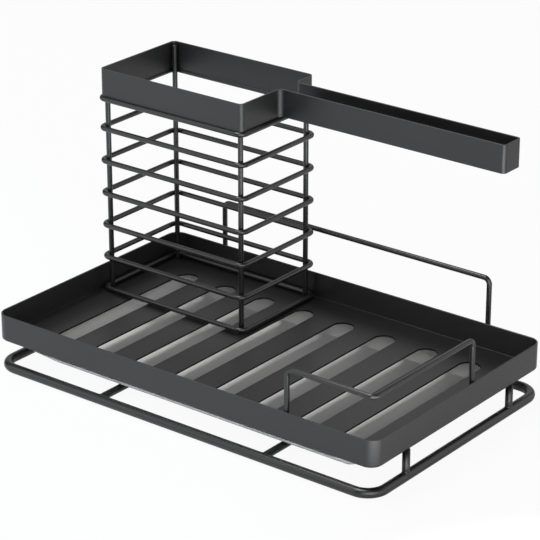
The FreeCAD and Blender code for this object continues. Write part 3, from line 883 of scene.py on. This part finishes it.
strip_middle = (strip_low.z + strip_high.z) / 2
rim_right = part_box("upright_front_right")[1].x + strip_stand_off + strip_inset
rim_left = strip_low.x + strip_inset
rim_front = strip_low.y + strip_inset
rim_rear = strip_high.y - strip_inset
arm_rear = strip_high.y - arm_setback - strip_inset
arm_front = arm_rear - arm_width + strip_sheet
arm_end = strip_high.x - strip_inset
strip_corners = (
    (rim_right, rim_front, strip_rim_bend),
    (rim_right, arm_front, strip_neck_bend),
    (arm_end, arm_front, strip_arm_bend),
    (arm_end, arm_rear, strip_arm_bend),
    (rim_right, arm_rear, strip_neck_bend),
    (rim_right, rim_rear, strip_rim_bend),
    (rim_left, rim_rear, strip_rim_bend),
    (rim_left, rim_front, strip_rim_bend),
)
strip_path = path_mesh(
    "rim_strip",
    [Vector((x, y, strip_middle)) for x, y, bend in strip_corners],
    True,
    bend=[bend for x, y, bend in strip_corners],
)
strip = shape_with(
    new_piece("rim_strip", strip_path),
    build_bent_strip(),
    {
        "Sheet": strip_sheet,
        "Height": strip_high.z - strip_low.z,
        "Edge radius": strip_lip,
        "Edge steps": strip_lip_steps,
        "Bend steps": strip_steps,
        "Coat": coated_sheet,
    },
)
strip.modifiers.new("even_faces", "WEIGHTED_NORMAL")
settle(strip, "basket", "coated_sheet", "rim_band")

# Basket welds
# Resistance welds at each crossing of hoop and upright, and a fine brazed seam between the top hoop and the
# strip that stands on it, from one side of the towel arm round to the other.
basket_centre = sum(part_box("hoop_1"), Vector()) / 2
seam_radius = 0.00042
seam_sides = 12
basket_welds = []
for node in upright_names:
    upright_low, upright_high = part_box(node)
    upright_axis = (upright_low + upright_high) / 2
    outward = Vector((upright_axis.x - basket_centre.x, upright_axis.y - basket_centre.y))
    corner_way = Vector((math.copysign(1, outward.x), math.copysign(1, outward.y), 0)).normalized()
    contact = upright_axis + corner_way * upright_radius
    for hoop in hoop_names:
        hoop_low, hoop_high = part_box(hoop)
        basket_welds.append(Vector((contact.x, contact.y, (hoop_low.z + hoop_high.z) / 2)))
make_welds("basket_weld_spots", basket_welds, "basket")

seam_places = (
    (rim_right, arm_front),
    (rim_right, rim_front),
    (rim_left, rim_front),
    (rim_left, rim_rear),
    (rim_right, rim_rear),
    (rim_right, arm_rear),
)
seam_points = [Vector((x, y, strip_low.z - seam_radius / 4)) for x, y in seam_places]
seam = make_wire("rim_seam", seam_points, seam_radius, strip_rim_bend, False, strip_steps, seam_sides)
settle(seam, "basket", "coated_wire")

# Studio
# A pale floor, painted grey with a lighter, cooler part in front on the left: painted light and shade, which the
# caddy shows mostly in its reflections. Round it is a room with soft lights, the strongest at the front right. Each
# has an azimuth and elevation in degrees, and a strength. Two large soft lamps hang overhead, and a third lamp
# lights the floor beside the front right corner.
floor_size = 4
# The floor is painted grey, and lighter and cooler towards the front left: painted light and shade, seen mostly in
# the caddy's reflections.
floor_colour = (0.64, 0.64, 0.64, 1)
floor_painted_light_colour = (0.80, 0.87, 0.925, 1)
floor_painted_light_way = (-0.5, -0.87, 0)
floor_painted_light_blend = (0.0, 0.07)
floor_roughness = 0.9
floor_white_seen = 0.93
floor_white_mirrored = 0.26
studio_white = (1, 1, 1, 1)
room_light_spread = (0.78, 0.98)
room_lights = (
    (0, 15, 0.59),
    (45, 15, 0.78),
    (90, 15, 0.18),
    (135, 15, 0.52),
    (225, 15, 0.9),
    (315, 15, 2.6),
    (90, 45, 0.3),
    (225, 45, 0.45),
)
soft_lamps = {"front_lamp": ((-0.25, -0.6, 2.0), 0.8, 13), "left_lamp": ((-0.7, 0.0, 2.0), 0.6, 12.5)}
soft_lamp_aim = (0, 0, 0.06)
floor_lamp_height = 1.2
floor_lamp_spot = (0.349, -0.18)
floor_lamp_cone = 18.8
floor_lamp_blend = 0.25
floor_lamp_size = 0.02
floor_lamp_energy = 470

floor_mesh = bpy.data.meshes.new("studio_floor")
floor_corners = [(x * floor_size, y * floor_size, 0) for x, y in ((-1, -1), (1, -1), (1, 1), (-1, 1))]
floor_mesh.from_pydata(floor_corners, [], [(0, 1, 2, 3)])
floor = new_piece("studio_floor", floor_mesh)
floor_material, floor_tree, floor_shader = new_material("studio_white")
floor_place = add_node(floor_tree, "ShaderNodeTexCoord").outputs["Object"]
# Painted light: the floor's colour turns lighter and cooler towards the front left.
floor_way = add_node(
    floor_tree, "ShaderNodeVectorMath", {0: floor_place, 1: floor_painted_light_way}, operation="DOT_PRODUCT"
)
floor_painted_light_mask = mapped(floor_tree, floor_way.outputs["Value"], *floor_painted_light_blend, 0, 1)
floor_painted_tint = mixed(floor_tree, floor_painted_light_mask, floor_colour, floor_painted_light_colour)
floor_tree.links.new(floor_painted_tint, floor_shader.inputs["Base Color"])
floor_shader.inputs["Roughness"].default_value = floor_roughness
floor_shader.inputs["Specular IOR Level"].default_value = 0
floor_glow = result_of(floor_tree, "ShaderNodeEmission", {"Color": studio_white, "Strength": 1.0})
rays = add_node(floor_tree, "ShaderNodeLightPath").outputs
whiteness = 0
for ray, share in (
    ("Is Camera Ray", floor_white_seen),
    ("Is Glossy Ray", floor_white_mirrored),
    ("Is Transmission Ray", floor_white_mirrored),
):
    seen = mapped(floor_tree, rays[ray], 0, 1, 0, share)
    whiteness = math_of(floor_tree, "MAXIMUM", whiteness, seen)
surfaces = {0: whiteness, 1: floor_shader.outputs[0], 2: floor_glow}
floor_mix = result_of(floor_tree, "ShaderNodeMixShader", surfaces)
floor_tree.links.new(floor_mix, floor_tree.nodes["Material Output"].inputs["Surface"])
floor_material.cycles.emission_sampling = "NONE"
floor_mesh.materials.append(floor_material)

world = bpy.data.worlds.new("studio_room")
world.use_nodes = True
room_tree = world.node_tree
room_way = add_node(room_tree, "ShaderNodeTexCoord").outputs["Generated"]
room_level = 0
for azimuth, elevation, strength in room_lights:
    turn, tilt = math.radians(azimuth), math.radians(elevation)
    aim = (math.cos(turn) * math.cos(tilt), math.sin(turn) * math.cos(tilt), math.sin(tilt))
    room_side = add_node(room_tree, "ShaderNodeVectorMath", {0: room_way, 1: aim}, operation="DOT_PRODUCT")
    glow = mapped(room_tree, room_side.outputs["Value"], *room_light_spread, 0, strength)
    room_level = math_of(room_tree, "ADD", room_level, glow)
room_tree.nodes["Background"].inputs["Color"].default_value = studio_white
room_tree.links.new(room_level, room_tree.nodes["Background"].inputs["Strength"])
bpy.context.scene.world = world


def hang_lamp(name, lamp, place, aim):
    """Puts a lamp in its place, out of the camera's sight, and turns it to a point."""
    stand = bpy.data.objects.new(name, lamp)
    stand.location = place
    stand.rotation_euler = (Vector(aim) - Vector(place)).to_track_quat("-Z", "Y").to_euler()
    stand.visible_camera = False
    bpy.context.scene.collection.objects.link(stand)


for name, (place, size, energy) in soft_lamps.items():
    soft_lamp = bpy.data.lights.new(name, "AREA")
    soft_lamp.size = size
    soft_lamp.energy = energy
    hang_lamp(name, soft_lamp, place, soft_lamp_aim)

floor_lamp = bpy.data.lights.new("floor_lamp", "SPOT")
floor_lamp.spot_size = math.radians(floor_lamp_cone)
floor_lamp.spot_blend = floor_lamp_blend
floor_lamp.shadow_soft_size = floor_lamp_size
floor_lamp.energy = floor_lamp_energy
hang_lamp("floor_lamp", floor_lamp, (*floor_lamp_spot, floor_lamp_height), (*floor_lamp_spot, 0))

# Camera
# It looks down on the caddy's front right corner from some way off, through a long lens. Colours are shown
# as they are, without a film look.
view_azimuth = math.radians(38.0)
view_elevation = math.radians(22.99)
view_distance = 1.3657
look_at = Vector((0.0001, 0.0035, 0.0664))
lens_length = 166.8
sensor_width = 36

camera_data = bpy.data.cameras.new("camera")
camera_data.lens = lens_length
camera_data.sensor_width = sensor_width
camera = bpy.data.objects.new("camera", camera_data)
backward = Vector((
    math.sin(view_azimuth) * math.cos(view_elevation),
    -math.cos(view_azimuth) * math.cos(view_elevation),
    math.sin(view_elevation),
))
camera.location = look_at + backward * view_distance
camera.rotation_euler = backward.to_track_quat("Z", "Y").to_euler()
bpy.context.scene.collection.objects.link(camera)
bpy.context.scene.camera = camera
bpy.context.scene.view_settings.view_transform = "Standard"
